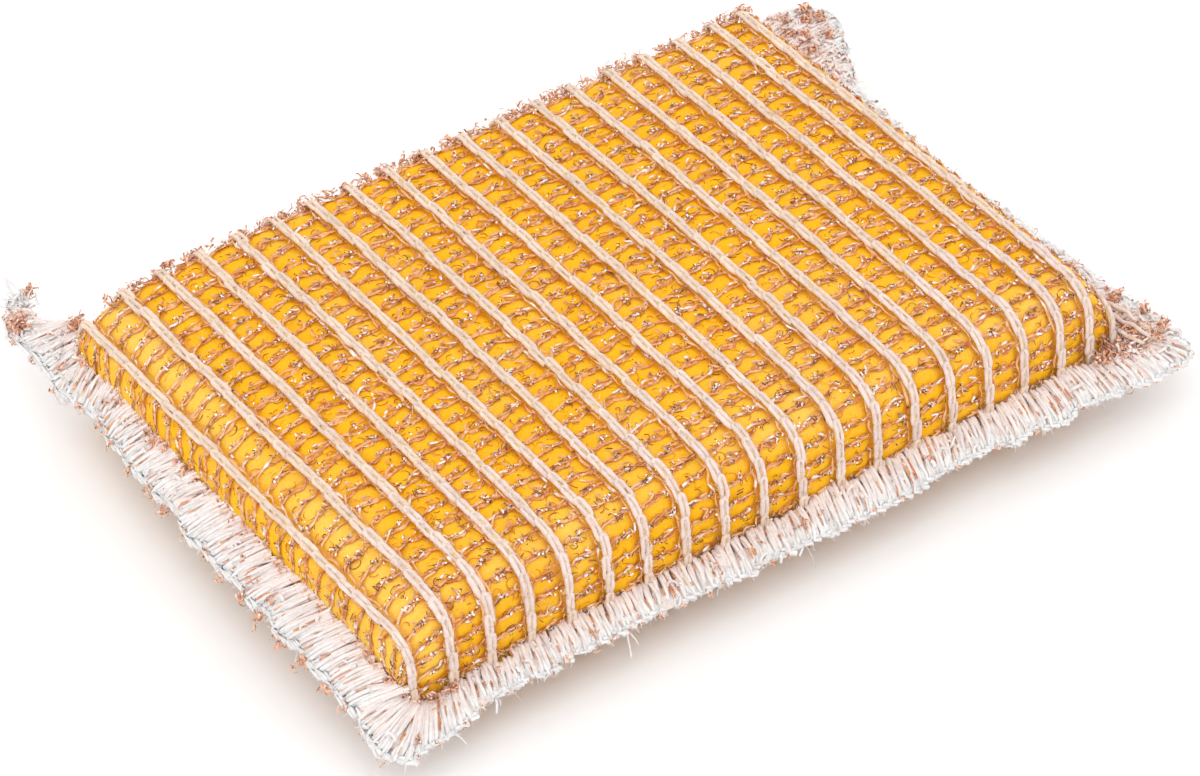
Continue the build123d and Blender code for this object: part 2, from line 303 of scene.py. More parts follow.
def quads(first, beside, step):
    """Faces of vertices, those beside them and the same a step on."""
    return np.stack([first, beside, beside + step, first + step], axis=-1).reshape(-1, 4)


class Heap:
    """Vertices, faces and colours collected for one mesh."""

    def __init__(self):
        self.points = []
        self.faces = []
        self.tones = []
        self.count = 0

    def add(self, points, faces, tones):
        """Add a patch; its faces count from its own first vertex."""
        self.points.append(points)
        self.faces.append(faces + self.count)
        self.tones.append(np.broadcast_to(tones, (len(points), 3)))
        self.count += len(points)

    def sheet(self, grid, tones, flipped=False):
        """Add a grid of points with their colours; flipped turns its faces over."""
        rows, cols = grid.shape[:2]
        first = np.arange(rows - 1)[:, None] * cols + np.arange(cols - 1)
        faces = quads(first, first + cols, 1) if flipped else quads(first, first + 1, cols)
        self.add(grid.reshape(-1, 3), faces, tones.reshape(-1, 3))

    def tube(self, points, hints, radius, tone, flat=1.0, sides=6):
        """A yarn along points; hints point away from the pad, flat presses it along them."""
        count = len(points)
        side, rise = sides_of(points, hints)
        angles = np.linspace(0, 2 * math.pi, sides, endpoint=False)[:, None]
        radius = np.broadcast_to(radius, (count,))[:, None, None]
        ring = side[:, None] * np.cos(angles)
        ring = ring + rise[:, None] * flat * np.sin(angles)
        verts = (points[:, None] + ring * radius).reshape(-1, 3)
        start = np.arange(count - 1)[:, None] * sides
        first, after = start + np.arange(sides), start + (np.arange(sides) + 1) % sides
        tones = tone if np.ndim(tone) == 1 else np.repeat(tone, sides, axis=0)
        self.add(verts, quads(first, after, sides), tones)

    def ribbon(self, points, hints, width, curl, tones, edge):
        """A flat tape along points, its face towards hints, its edges curled, and darkened by a share."""
        count = len(points)
        tones = np.broadcast_to(tones, (count, 3))[:, None]
        side, rise = sides_of(points, hints)
        places = np.array([-0.5, -0.36, 0.0, 0.36, 0.5])[:, None]
        lift = np.array([1.0, 0.4, 0.0, 0.4, 1.0])[:, None]
        width = np.broadcast_to(width, (count,))[:, None, None]
        verts = points[:, None] + side[:, None] * places * width
        verts = verts + rise[:, None] * lift * (curl * width)
        edge_share = np.array([1.0, 0.15, 0.0, 0.15, 1.0])[:, None] * edge
        self.sheet(verts, blended(tones, tones * 0.3 + TAPE_DARK * 0.5, edge_share))

    def mesh(self, name, material, smooth=True):
        """Make the Blender object; what would lie under the floor is pressed just above it."""
        points = np.concatenate(self.points)
        height = points[:, 2]
        pressed = FLOOR_GAP * np.exp(np.minimum(height - FLOOR_GAP, 0) / FLOOR_GAP)
        points[:, 2] = np.where(height < FLOOR_GAP, pressed, height)
        faces = np.concatenate(self.faces)
        data = bpy.data.meshes.new(name)
        data.vertices.add(len(points))
        data.vertices.foreach_set("co", points.astype(np.float32).ravel())
        data.loops.add(faces.size)
        data.loops.foreach_set("vertex_index", faces.astype(np.int32).ravel())
        data.polygons.add(len(faces))
        data.polygons.foreach_set("loop_start", np.arange(0, faces.size, faces.shape[1], dtype=np.int32))
        data.polygons.foreach_set("use_smooth", np.full(len(faces), smooth))
        data.update(calc_edges=True)
        tone = data.color_attributes.new("tone", "FLOAT_COLOR", "POINT")
        colours = np.ones((len(points), 4), np.float32)
        colours[:, :3] = np.concatenate(self.tones)
        tone.data.foreach_set("color", colours.ravel())
        data.materials.append(material)
        piece = placed(name, data)
        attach(piece, "root")
        return piece


def sides_of(points, hints):
    """Sideways and upward unit directions along a line of points."""
    along = tangents(points)
    side = unit_of(np.cross(along, hints))
    return side, np.cross(side, along)


def spread(values, count):
    """Values along a smooth line through the given ones; rows of values stay together."""
    return along_line(values, np.linspace(0, len(values) - 1, count))


def along_line(values, places):
    """Values of a smooth line at places counted from its first given value."""
    values = np.asarray(values, float)
    low = np.clip(np.floor(places).astype(int), 0, len(values) - 2)
    share = places - low
    if values.ndim > 1:
        share = share[:, None]
    padded = np.concatenate([[2 * values[0] - values[1]], values, [2 * values[-1] - values[-2]]])
    a, b, c, d = padded[low], padded[low + 1], padded[low + 2], padded[low + 3]
    return b + 0.5 * share * (c - a + share * (2 * a - 5 * b + 4 * c - d + share * (3 * (b - c) + d - a)))


def connect(tree, made, **inputs):
    """Set or link a node's inputs, named with _ for a space."""
    for key, value in inputs.items():
        socket = made.inputs[key.replace("_", " ")]
        if isinstance(value, bpy.types.NodeSocket):
            tree.links.new(value, socket)
        else:
            socket.default_value = value
    return made


def node(tree, kind, **inputs):
    """A new shader node with its inputs set or linked."""
    return connect(tree, tree.nodes.new("ShaderNode" + kind), **inputs)


def blank_material(name):
    """A material, its tree and its principled shader."""
    material = bpy.data.materials.new(name)
    material.use_nodes = True
    tree = material.node_tree
    return material, tree, tree.nodes["Principled BSDF"]


def texture(tree, kind, **inputs):
    """A texture laid by the mesh's own coordinates."""
    return node(tree, kind, Vector=node(tree, "TexCoord").outputs["Object"], **inputs)


def noise(tree, scale, detail, roughness):
    """Values of a noise."""
    return texture(tree, "TexNoise", Scale=scale, Detail=detail, Roughness=roughness).outputs["Fac"]


def mottled(tree, values, start, dark, end):
    """The mesh's own tones, darkened where the values are low."""
    tone = node(tree, "VertexColor")
    tone.layer_name = "tone"
    ramp = node(tree, "ValToRGB", Fac=values)
    low, high = ramp.color_ramp.elements
    low.position, low.color = start, (*dark, 1)
    high.position, high.color = end, (1, 1, 1, 1)
    mix = node(tree, "Mix")
    mix.data_type = "RGBA"
    mix.blend_type = "MULTIPLY"
    connect(tree, mix, Factor=1.0)
    tree.links.new(tone.outputs["Color"], mix.inputs[6])
    tree.links.new(ramp.outputs["Color"], mix.inputs[7])
    return mix.outputs[2]


def bumped(tree, height, strength, distance):
    """Normals roughened by a height."""
    return node(tree, "Bump", Height=height, Strength=strength, Distance=distance).outputs["Normal"]


def foam_material():
    """Open-cell sponge with fine pores."""
    material, tree, shader = blank_material("foam")
    colour = mottled(tree, noise(tree, 1500.0, 4.0, 0.7), 0.32, (0.97, 0.90, 0.7), 0.6)
    pores = texture(tree, "TexVoronoi", Scale=2600.0).outputs["Distance"]
    connect(tree, shader, Base_Color=colour, Normal=bumped(tree, pores, 0.35, 0.2 * MM), Roughness=0.9,
            Specular_IOR_Level=0.25, Subsurface_Weight=0.4, Subsurface_Radius=(1.0, 0.5, 0.15),
            Subsurface_Scale=1.2 * MM)
    return material


def yarn_material(name, strength):
    """Bulked white yarn: fine filaments, a soft sheen and faint grey and pink patches."""
    material, tree, shader = blank_material(name)
    colour = mottled(tree, noise(tree, 900.0, 4.0, 0.65), 0.3, (0.88, 0.83, 0.83), 0.6)
    filaments = noise(tree, 5200.0, 3.0, 0.7)
    connect(tree, shader, Base_Color=colour, Normal=bumped(tree, filaments, strength, 0.1 * MM),
            Roughness=0.95, Specular_IOR_Level=0.2, Subsurface_Weight=0.25,
            Subsurface_Radius=(0.6, 0.5, 0.5), Subsurface_Scale=0.8 * MM)
    return material


def tape_material():
    """Metallised film: glossy, slightly metallic and finely creased."""
    material, tree, shader = blank_material("copper_tape")
    colour = mottled(tree, noise(tree, 1700.0, 3.0, 0.6), 0.36, (0.90, 0.80, 0.74), 0.58)
    creases = noise(tree, 2500.0, 3.0, 0.6)
    connect(tree, shader, Base_Color=colour, Normal=bumped(tree, creases, 0.5, 0.15 * MM), Metallic=0.15,
            Roughness=0.25)
    return material


FOAM = foam_material()
YARN = yarn_material("yarn", 0.5)
THREAD = yarn_material("overlock_yarn", 0.8)
TAPE = tape_material()


def places_of_chains():
    """Length across at which each chain lies, the one on the right shoulder last."""
    places = []
    for order in range(CHAIN_COUNT):
        drawn = NET_DRAW * max(0, math.sin(NET_DRAW_ARCS * math.pi * order / (CHAIN_COUNT - 1)))
        drawn = LAST_CHAIN_DRAW if order == CHAIN_COUNT - 1 else drawn
        places.append(across_at((order - (CHAIN_COUNT - 1) / 2) * CHAIN_PITCH - drawn))
    out_share = (1 - SIDE_CHAIN_HEIGHT_SHARE ** RIGHT_FULLNESS) ** (1 / RIGHT_FULLNESS)
    return places + [across_at(RIGHT_CENTRE + RIGHT_EDGE * out_share)]


CHAIN_ACROSS = places_of_chains()


def make_foam():
    """The foam block, drawn in under each chain and puffed up between, paler over the front and left
    shoulders where a highlight is painted, and mottled at random.
    """
    groove_depth, groove_reach = 0.35 * MM, 1.1 * MM
    puff_height, puff_reach = 0.25 * MM, 1.6 * MM
    row_press = 0.06 * MM
    pale_turn, pale_turn_reach = 0.72, 0.32
    pale_reach, patch_reach = 4.0 * MM, 5.0 * MM
    across = np.unique(np.concatenate([np.linspace(0, ACROSS[-1], 360), CHAIN_ACROSS]))
    rows = np.linspace(0, ROWS, ROWS * 4 + 1)
    turns = turn_at(rows)
    nearest = np.min(np.abs(across[:, None] - CHAIN_ACROSS), axis=1)
    groove = groove_depth * np.exp(-(nearest / groove_reach) ** 2)
    puff = puff_height * (1 - np.exp(-(nearest / puff_reach) ** 2))
    press = row_press * np.cos(2 * math.pi * (rows - 0.5))
    grid = surface(across[:, None], turns, (FOAM_DEPTH + groove - puff)[:, None] + press)
    # Painted highlight: paler yellow over the front and left shoulders; the waves below mottle it at random
    front_highlight = np.exp(-((turns - pale_turn) / pale_turn_reach) ** 2)
    left_highlight = np.exp(-((across - (CHAIN_ACROSS[0] + CHAIN_ACROSS[1]) / 2) / pale_reach) ** 2)
    highlight_and_mottle = 0.75 * front_highlight + 0.8 * left_highlight[:, None] * (turns < HALF_RING)
    rng = np.random.default_rng(SEED)
    for patch in range(14):
        waves = rng.normal(0, 1, 2) / patch_reach
        phase = across[:, None] * waves[0] + rows * STITCH_PITCH * waves[1]
        highlight_and_mottle = highlight_and_mottle + 0.06 * np.sin(phase + rng.uniform(0, 2 * math.pi))
    heap = Heap()
    heap.sheet(grid, blended(FOAM_DEEP, FOAM_LIGHT, np.clip(highlight_and_mottle, 0, 1)[..., None]), flipped=True)
    piece = heap.mesh("foam_block", FOAM)
    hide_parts("foam_core")


def link_path(rng):
    """One knitted link round its head: across, along and depth under the crests."""
    going = np.array((
        (-0.12, -0.05, 0.66), (-0.36, 0.18, 0.52), (-0.39, 0.38, 0.46), (-0.34, 0.62, 0.44),
        (-0.38, 0.86, 0.42), (-0.32, 1.04, 0.40), (0.0, 1.16, 0.38)))
    across, along, depth = np.concatenate([going, going[-2::-1] * np.array((-1, 1, 1))]).T
    across = across * MM * rng.uniform(0.85, 1.15) + rng.normal(0, 0.06) * MM
    along = along + rng.normal(0, 0.04)
    return across, along, depth * MM


def fibres(heap, rng, starts, ways, length, width, tone, droop=0.0):
    """Loose filaments as narrow strips, one from each start, their length and width ranges in millimetres."""
    number = len(starts)
    steps = 4
    share = np.linspace(0, 1, steps)[None, :, None]
    reach = rng.uniform(*length, number)[:, None, None] * MM
    ways = unit_of(ways)
    points = starts[:, None] + ways[:, None] * share * reach
    points = points + rng.normal(0, 0.35, (number, 1, 3)) * reach * share ** 2
    points = points - np.array((0, 0, droop * MM)) * share ** 2
    side = unit_of(np.cross(ways, rng.normal(0, 1, (number, 3))))
    half = side[:, None] * rng.uniform(*width, number)[:, None, None] * MM / 2 * (1 - 0.4 * share)
    verts = np.stack([points - half, points + half], axis=2).reshape(-1, 3)
    first = np.arange(number)[:, None] * 2 * steps + np.arange(steps - 1) * 2
    tones = np.broadcast_to(tone, (number, 3)) * rng.uniform(0.92, 1.06, (number, 1))
    heap.add(verts, quads(first, first + 1, 2), np.repeat(tones, 2 * steps, axis=0))


def make_chain(number, across_middle):
    """A chain of yarn round the pad, one link to a stitch."""
    steps = 15
    cool_rows = 9
    rng = np.random.default_rng(SEED + number)
    heap = Heap()
    sway_phase = rng.uniform(0, 2 * math.pi)
    points, hints = pad(across_middle, np.linspace(ROW_GAP, ROWS - ROW_GAP, ROWS * 2), CORE_DEPTH)
    heap.tube(points, hints, CORE_RADIUS, flat=0.9, tone=YARN_WITH_FOAM_LIGHT * np.array((1.06, 0.98, 0.6)))
    for row in range(ROWS):
        across, along, depth = (spread(v, steps) for v in link_path(rng))
        sway = 0.10 * MM * math.sin(row * 0.9 + sway_phase) + (0.07 * (-1) ** row + rng.normal(0, 0.05)) * MM
        points, hints = pad(across_middle + across + sway, np.clip(row + along, 0, ROWS), depth)
        radius = LINK_RADIUS * rng.uniform(0.92, 1.1) * (1 + 0.16 * spread(rng.normal(0, 1, 7), steps))
        cool = np.array((1.0, 1.03, 1.14)) if row < cool_rows else np.ones(3)
        heap.tube(points, hints, radius, flat=0.85, tone=YARN_WITH_FOAM_LIGHT * cool * rng.uniform(0.93, 1.04))
        # Painted shade: the neck under each link's head is a little darker
        neck = np.clip(row + np.linspace(0.55, 1.0, 5), 0, ROWS)
        points, hints = pad(across_middle + sway, neck, NECK_DEPTH)
        heap.tube(points, hints, NECK_RADIUS, flat=0.9, tone=YARN_WITH_FOAM_LIGHT * 0.97)
    count = ROWS * FIBRES_PER_STITCH
    rows = rng.uniform(ROW_GAP, ROWS - ROW_GAP, count)
    across = across_middle + rng.normal(0, 0.42, count) * MM
    starts, out = pad(across, rows, rng.uniform(0.15, 0.6, count) * MM)
    ways = rng.normal(0, 1, (count, 3)) + 0.25 * out
    fibres(heap, rng, starts, ways, (0.25, 0.75), (0.06, 0.13), YARN_WITH_FOAM_LIGHT)
    piece = heap.mesh(f"yarn_chain_{number:02d}", YARN)
    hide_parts(f"chain_{number:02d}")


def lay(heap, across, rows, depth, turn, width, curl, tones, edge):
    """A ribbon of tape laid on the pad, its face turned about its own line."""
    points, hints = pad(across, np.clip(rows, ROW_GAP, ROWS - ROW_GAP), depth)
    side, rise = sides_of(points, hints)
    turn = np.broadcast_to(turn, (len(points),))[:, None]
    heap.ribbon(points, rise * np.cos(turn) + side * np.sin(turn), width, curl, tones, edge)


def film_tones(rng, count, pale, glints):
    """Pale, pink and copper stretches along a tape, with painted white glints and painted dark reflections.
    """
    blend = np.clip(spread(rng.uniform(-0.2, 1.2, 5), count), 0, 1)[:, None]
    tones = blended(blended(TAPE_COPPER, TAPE_PINK, blend), TAPE_PALE, pale)
    for place in rng.integers(0, count - 1, glints):
        tones[place:place + 2] = TAPE_GLINT
    for place in rng.integers(0, count, glints // 2):
        tones[place] = TAPE_DARK
    return tones


def film(heap, rng, left, right, row, pale):
    """One crossing of the crumpled film: gathered at both chains, wide and creased between them."""
    count, cols = 17, 7
    share = np.linspace(0, 1, count)[:, None]
    place = np.array([-0.5, -0.36, -0.16, 0.0, 0.16, 0.36, 0.5])
    middle = row + spread(rng.normal(0, 0.09, 5), count)[:, None] + rng.uniform(-0.25, 0.35) * (share - 0.5)
    widths = np.array((0.5, 0.7, 0.9, 1.0, 0.9, 0.65, 0.45)) * rng.uniform(0.55, 1.15, 7)
    wide = spread(widths * rng.uniform(0.7, 1.1), count)[:, None] * MM
    across = left + (right - left) * (0.08 + 0.84 * share) + rng.normal(0, 0.04, (count, cols)) * MM
    rows = middle + place * wide / STITCH_PITCH + rng.normal(0, 0.01, (count, cols))
    crease = spread(rng.normal(0, 1, (9, cols)), count) + 0.5 * rng.normal(0, 1, (count, cols))
    lift = np.clip(0.30 + 0.09 * crease, 0.12, 0.7)
    grid = surface(across, turn_at(np.clip(rows, ROW_GAP, ROWS - ROW_GAP)), FOAM_DEPTH - lift * MM)
    # Painted light and shade: paler where the crumpled film stands higher, deeper pink and copper where it
    # sinks
    blend = np.clip(0.5 + 0.45 * crease, 0, 1)[..., None] * pale
    warm = np.clip(spread(rng.uniform(-0.3, 1.2, 6), count), 0, 1)[:, None, None]
    tones = blended(blended(TAPE_COPPER, TAPE_PINK, warm), TAPE_PALE, blend)
    # Painted glints in white and painted dark reflections, at single vertices
    marks = rng.uniform(0, 1, (count, cols))
    tones = np.where(marks[..., None] < 0.03, TAPE_GLINT, tones)
    tones = np.where(marks[..., None] > 0.985, TAPE_DARK, tones)
    tones[:, (0, -1)] *= np.array((0.72, 0.52, 0.40)) * rng.uniform(0.7, 1.3, (count, 2, 1))
    heap.sheet(grid, tones)


# Tape across a lane: share of the lane, stitches on, height over the foam, turn of its face, width
CURLED = np.array((
    (0.14, -0.45, 0.30, 1.2, 0.50), (0.16, -0.15, 0.42, 0.7, 0.65), (0.25, 0.00, 0.46, 0.2, 0.85),
    (0.40, 0.05, 0.52, -0.2, 0.90), (0.56, 0.13, 0.80, 0.7, 0.75), (0.50, 0.36, 1.00, 2.6, 0.65),
    (0.43, 0.20, 0.75, 4.0, 0.65), (0.62, 0.09, 0.52, 5.3, 0.60), (0.78, 0.14, 0.42, 5.9, 0.50),
    (0.87, 0.30, 0.44, 6.6, 0.60), (0.86, 0.62, 0.34, 7.4, 0.50)))
ZIGZAG = np.array((
    (0.14, -0.40, 0.30, 1.0, 0.50), (0.20, -0.05, 0.46, 0.3, 0.75), (0.36, 0.10, 0.50, 0.1, 0.85),
    (0.58, -0.05, 0.72, 0.9, 0.75), (0.44, 0.16, 0.86, 1.8, 0.70), (0.66, 0.24, 0.70, 2.8, 0.75),
    (0.52, 0.40, 0.62, 3.3, 0.60), (0.74, 0.22, 0.50, 3.6, 0.60), (0.86, 0.30, 0.44, 4.2, 0.60),
    (0.88, 0.60, 0.34, 4.9, 0.50)))
STRAIGHT = np.array((
    (0.12, -0.30, 0.35, 0.5, 0.60), (0.18, -0.12, 0.46, 0.1, 0.80), (0.38, -0.02, 0.52, 0.0, 0.88),
    (0.60, 0.08, 0.54, 0.0, 0.88), (0.74, 0.18, 0.56, 0.4, 0.75), (0.82, 0.10, 0.90, 1.8, 0.65),
    (0.76, 0.30, 0.80, 3.2, 0.60), (0.88, 0.40, 0.44, 4.0, 0.55)))


def crossing(heap, rng, left, right, row, form, pale):
    """One run of the tape's narrow folds from chain to chain, with its loops and turns."""
    plan = form.copy()
    count = 3 * len(plan) - 2
    amount = np.array((0.05, 0.08, 0.07, 0.35, 0.07))
    plan += rng.normal(0, 1, plan.shape) * amount
    plan[:, 1] *= rng.uniform(0.7, 1.25)
    line = spread(plan, count)
    across = left + (right - left) * line[:, 0]
    depth = FOAM_DEPTH - np.clip(line[:, 2] * 0.8, 0.2, 0.85) * MM
    width = np.clip(line[:, 4] * 0.42, 0.16, 0.42) * MM
    lay(heap, across, row + line[:, 1], depth, line[:, 3], width, rng.uniform(0.02, 0.16),
        film_tones(rng, count, pale, 2), edge=rng.uniform(0.5, 0.9))


def stick(heap, rng, across, row, lift, length, width, tone, angle=None):
    """A short stiff piece of tape edge, dark or bright."""
    angle = rng.uniform(0, math.pi) if angle is None else angle
    reach = np.linspace(-0.5, 0.5, 3) * length
    across = across + reach * math.cos(angle)
    rows = row + reach * math.sin(angle) / STITCH_PITCH
    tilt = rng.normal(0, 0.25) * reach
    lay(heap, across, rows, FOAM_DEPTH - lift - tilt, rng.normal(0, 0.4), width, 0.0, tone, edge=0.0)


def strokes(heap, rng, across, row):
    """A few dark folds side by side, such as stand where the net is drawn tight over the front."""
    angle = rng.normal(0.5, 0.35) * math.pi
    for fold in range(rng.integers(1, 4)):
        stick(heap, rng, across + (fold - 1) * rng.uniform(0.2, 0.4) * MM, row + rng.normal(0, 0.05),
              rng.uniform(0.45, 0.8) * MM, rng.uniform(0.5, 1.3) * MM, rng.uniform(0.10, 0.17) * MM,
              TAPE_DARK * rng.uniform(0.6, 2.4), angle + rng.normal(0, 0.3))


def sparkle(heap, rng, across, row, lift):
    """A bright fold of the film, its white a painted glint, with dark ones beside it painted as dark
    reflections.
    """
    length = rng.uniform(0.18, 0.45) * MM
    stick(heap, rng, across, row, lift, length, rng.uniform(0.16, 0.28) * MM, TAPE_GLINT)
    for side in range(rng.integers(1, 3)):
        beside = across + rng.normal(0, 0.25) * MM
        stick(heap, rng, beside, row + rng.normal(0, 0.08), lift + 0.05 * MM, rng.uniform(0.15, 0.4) * MM,
              rng.uniform(0.11, 0.18) * MM, TAPE_DARK * rng.uniform(0.6, 2.2))


def side_run(heap, rng, across_middle, side):
    """The tape's runs along one side of a chain, from crossing to crossing."""
    count = ROWS * 6
    rows = np.linspace(ROW_GAP, ROWS - ROW_GAP, count)
    wobble = spread(rng.normal(0, 1, ROWS * 2), count)
    bows = np.abs(np.sin(rows * math.pi + rng.uniform(0, math.pi)))
    across = across_middle + side * (0.62 + 0.24 * bows + 0.12 * wobble) * MM
    depth = FOAM_DEPTH - (0.38 + 0.14 * spread(rng.normal(0, 1, ROWS * 2), count)) * MM
    turn = spread(rng.normal(0, 0.5, ROWS * 2), count)
    width = np.clip(0.26 + 0.12 * spread(rng.normal(0, 1, ROWS * 2), count), 0.08, 0.5) * MM
    lay(heap, across, rows, depth, turn, width, 0.1, film_tones(rng, count, 0.8, ROWS // 3), edge=0.35)


def loose_curl(heap, rng, left, right, row):
    """A thin curl of tape that lies bowed over the foam beside its crossing."""
    count = 9
    share = np.linspace(0, 1, count)
    radius = rng.uniform(0.3, 0.95) * MM
    sweep = rng.uniform(0.4, 1.2) * math.pi
    start = rng.uniform(0, 2 * math.pi)
    across = left + (right - left) * rng.uniform(0.2, 0.8) + radius * np.cos(start + sweep * share)
    rows = row + rng.uniform(-0.3, 0.45) + radius / STITCH_PITCH * np.sin(start + sweep * share)
    lift = rng.uniform(0.12, 0.35) + rng.uniform(0.05, 0.3) * np.sin(math.pi * share)
    turn = rng.uniform(0, math.pi)
    tone = TAPE_COPPER * rng.uniform(0.35, 1.0) * np.array((1.0, 0.8, 0.5))
    lay(heap, across, rows, FOAM_DEPTH - lift * MM, turn, rng.uniform(0.08, 0.16) * MM, 0.0, tone, edge=0.0)


def lay_tape(heap, rng, left, right, straight):
    """All tape between two neighbouring chains."""
    side_run(heap, rng, left, 1)
    side_run(heap, rng, right, -1)
    for row in range(ROWS):
        on_front = row < FRONT_ROWS_ABOVE or row > ROWS - FRONT_ROWS_UNDER
        here = row + 0.5
        if rng.uniform() < straight:
            crossing(heap, rng, left, right, here, STRAIGHT, rng.uniform(0.8, 1.0))
            film(heap, rng, left, right, here, 1.0)
        else:
            film(heap, rng, left, right, here, rng.uniform(0.4, 1.0))
            form = CURLED if rng.uniform() < 0.5 else ZIGZAG
            crossing(heap, rng, left, right, here, form, rng.uniform(0.2, 0.8))
        shown = UNDER_DETAIL_SHARE if ROWS * UNDER_START_SHARE < row < ROWS - UNDER_END_ROWS else 1.0
        for curl in range(int(rng.integers(3, 6) * shown)):
            loose_curl(heap, rng, left, right, here)
        # Painted glints, each with painted dark reflections beside it, one more to a row on the front
        middle = np.clip(rng.normal(0.52, 0.15), 0.25, 0.8)
        for glint in range(int((rng.integers(3, 6) + on_front) * shown)):
            place = left + (right - left) * np.clip(rng.normal(middle, 0.09), 0.15, 0.85)
            sparkle(heap, rng, place, here + rng.normal(0.06, 0.11), rng.uniform(0.5, 0.85) * MM)
        if rng.uniform() < (0.8 if on_front else 0.18):
            strokes(heap, rng, left + (right - left) * rng.uniform(0.25, 0.75), here + rng.normal(0, 0.2))


def make_lane(name, nodes, borders, seed, straight=0.0):
    """The tape between each two neighbouring borders."""
    rng = np.random.default_rng(SEED * 50 + seed)
    heap = Heap()
    for left, right in zip(borders, borders[1:]):
        lay_tape(heap, rng, left, right, straight)
    piece = heap.mesh(name, TAPE, smooth=False)
    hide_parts(*nodes)


def arc(rng, place, steps, radius, turns):
    """Points of one curl round a place, turned at random."""
    axis = rng.normal(0, 1, 3)
    axis /= np.linalg.norm(axis)
    first = np.cross(axis, rng.normal(0, 1, 3))
    first /= np.linalg.norm(first)
    share = np.linspace(0, 1, steps)
    angle = turns * math.pi * share
    second = np.cross(axis, first)
    points = place + radius * (np.cos(angle)[:, None] * first + np.sin(angle)[:, None] * second)
    return points + axis * rng.normal(0, 0.35) * MM * share[:, None]


def tangle(heap, rng, centre, reach, count, squash=(1, 1, 1)):
    """Springy curls of tape round a place."""
    steps = 10
    for curl in range(count):
        place = centre + rng.normal(0, 0.45, 3) * reach * np.asarray(squash)
        points = arc(rng, place, steps, rng.uniform(0.22, 0.7) * MM, rng.uniform(0.6, 1.9))
        bright = rng.uniform(0, 1)
        tones = np.tile(blended(CURL_DEEP, CURL_PALE, bright), (steps, 1))
        # A painted glint and a painted dark reflection, one vertex each
        tones[rng.integers(0, steps)] = TAPE_GLINT
        tones[rng.integers(0, steps)] = TAPE_DARK
        heap.ribbon(points, points - place, rng.uniform(0.14, 0.32) * MM, 0.0, tones, edge=0.5)


def yarn_loops(heap, rng, centre, reach, count, tone):
    """Loops of drawn-out yarn round a place, with fibres standing off them."""
    for loop in range(count):
        place = centre + rng.normal(0, 0.5, 3) * reach
        points = arc(rng, place, 9, rng.uniform(0.35, 0.8) * MM, rng.uniform(0.4, 1.2))
        radius = rng.uniform(0.14, 0.28) * MM
        heap.tube(points, points - place, radius, tone=tone * rng.uniform(0.93, 1.05), sides=5)
        fibres(heap, rng, points[::2], rng.normal(0, 1, (5, 3)), (0.3, 0.8), (0.06, 0.13), tone)


def seam_lines(table):
    """Inner line, outer line and thickness of a seam, and the length up to each place."""
    dense = spread(np.array(table) * MM, 60 * len(table))
    inner, outer, thick = dense[:, 0:3], dense[:, 3:6], dense[:, 6]
    middle = inner * 0.35 + outer * 0.65
    return inner, outer, thick, lengths_along(middle)


def at_length(length, values, places):
    """Values at one or more lengths along a line."""
    if values.ndim == 1:
        return np.interp(places, length, values)
    return np.stack([np.interp(places, length, values[:, i]) for i in range(3)], axis=-1)


def seam_core(heap, rng, inner, outer):
    """The flat core inside a seam's threads."""
    middle = inner * 0.5 + outer * 0.5
    hints = np.cross(outer - inner, tangents(middle))
    hints = hints * np.sign(hints[:, 2:3])
    reach = np.minimum(np.linalg.norm(outer - inner, axis=1), SEAM_CORE_WIDTH)
    tones = SEAM_INNER * np.array((1.0, 0.93, 0.9)) * rng.uniform(0.92, 1.03, (len(reach), 1))
    heap.tube(middle, hints, reach * 0.46, flat=0.36, sides=12, tone=tones)


def slivers(copper, rng, points, side, rise, number):
    """Bits of tape caught beside one thread."""
    steps = 5
    for sliver in range(number):
        first = rng.uniform(0.8, 5.5) if rng.uniform() < 0.85 else rng.uniform(5.0, 9.0)
        places = first + np.linspace(0, rng.uniform(1.0, 3.0), steps)
        line = along_line(points, places) + along_line(rise, places) * rng.uniform(0.26, 0.42) * MM
        line = line + along_line(side, places) * THREAD_PITCH * rng.uniform(0.2, 0.8)
        tones = np.tile(blended(SLIVER, TAPE_PALE, rng.uniform(0.0, 0.8)), (steps, 1))
        tones[rng.integers(0, steps)] = TAPE_COPPER * rng.uniform(0.3, 0.9)
        copper.ribbon(line, along_line(rise, places), rng.uniform(0.12, 0.26) * MM, 0.0, tones, edge=0.3)


def seam_loops(heap, rng, seam, number, tint):
    """Loops of drawn-out yarn that lie on a seam."""
    inner, outer, thick, length = seam
    for loop in range(number):
        place = rng.uniform(0, length[-1])
        across = rng.uniform(0.1, 1.0)
        centre = blended(at_length(length, inner, place), at_length(length, outer, place), across)
        centre[2] += at_length(length, thick, place) / 2 * (1 - across ** 4)
        tone = blended(SEAM_INNER, SEAM_OUTER, across) * np.array(tint)
        yarn_loops(heap, rng, centre, 0.3 * MM, 1, tone)


def seam_tufts(copper, rng, seam, spacing, most, reach, curls):
    """Tufts of tape off the rim of a seam, and smaller ones that lie on it."""
    inner, outer, thick, length = seam
    for spot in range(int(length[-1] / (spacing * MM))):
        place = (spot + 0.5 + rng.normal(0, 0.12)) * spacing * MM
        rim = at_length(length, outer, place)
        root = at_length(length, inner, place)
        away = (rim - root) / max(np.linalg.norm(rim - root), 1e-6)
        stand = rng.uniform(0.7, 1.1) * reach * MM
        tangle(copper, rng, rim + away * stand * 0.6, stand, rng.integers(most // 2 + 1, most + 1))
        if rng.uniform() < 0.45 * curls:
            centre = root + (rim - root) * rng.uniform(0.1, 0.8)
            centre[2] += at_length(length, thick, place) * 0.5 + 0.1 * MM
            tangle(copper, rng, centre, 0.6 * MM, rng.integers(2, 6), (1, 1, 0.3))


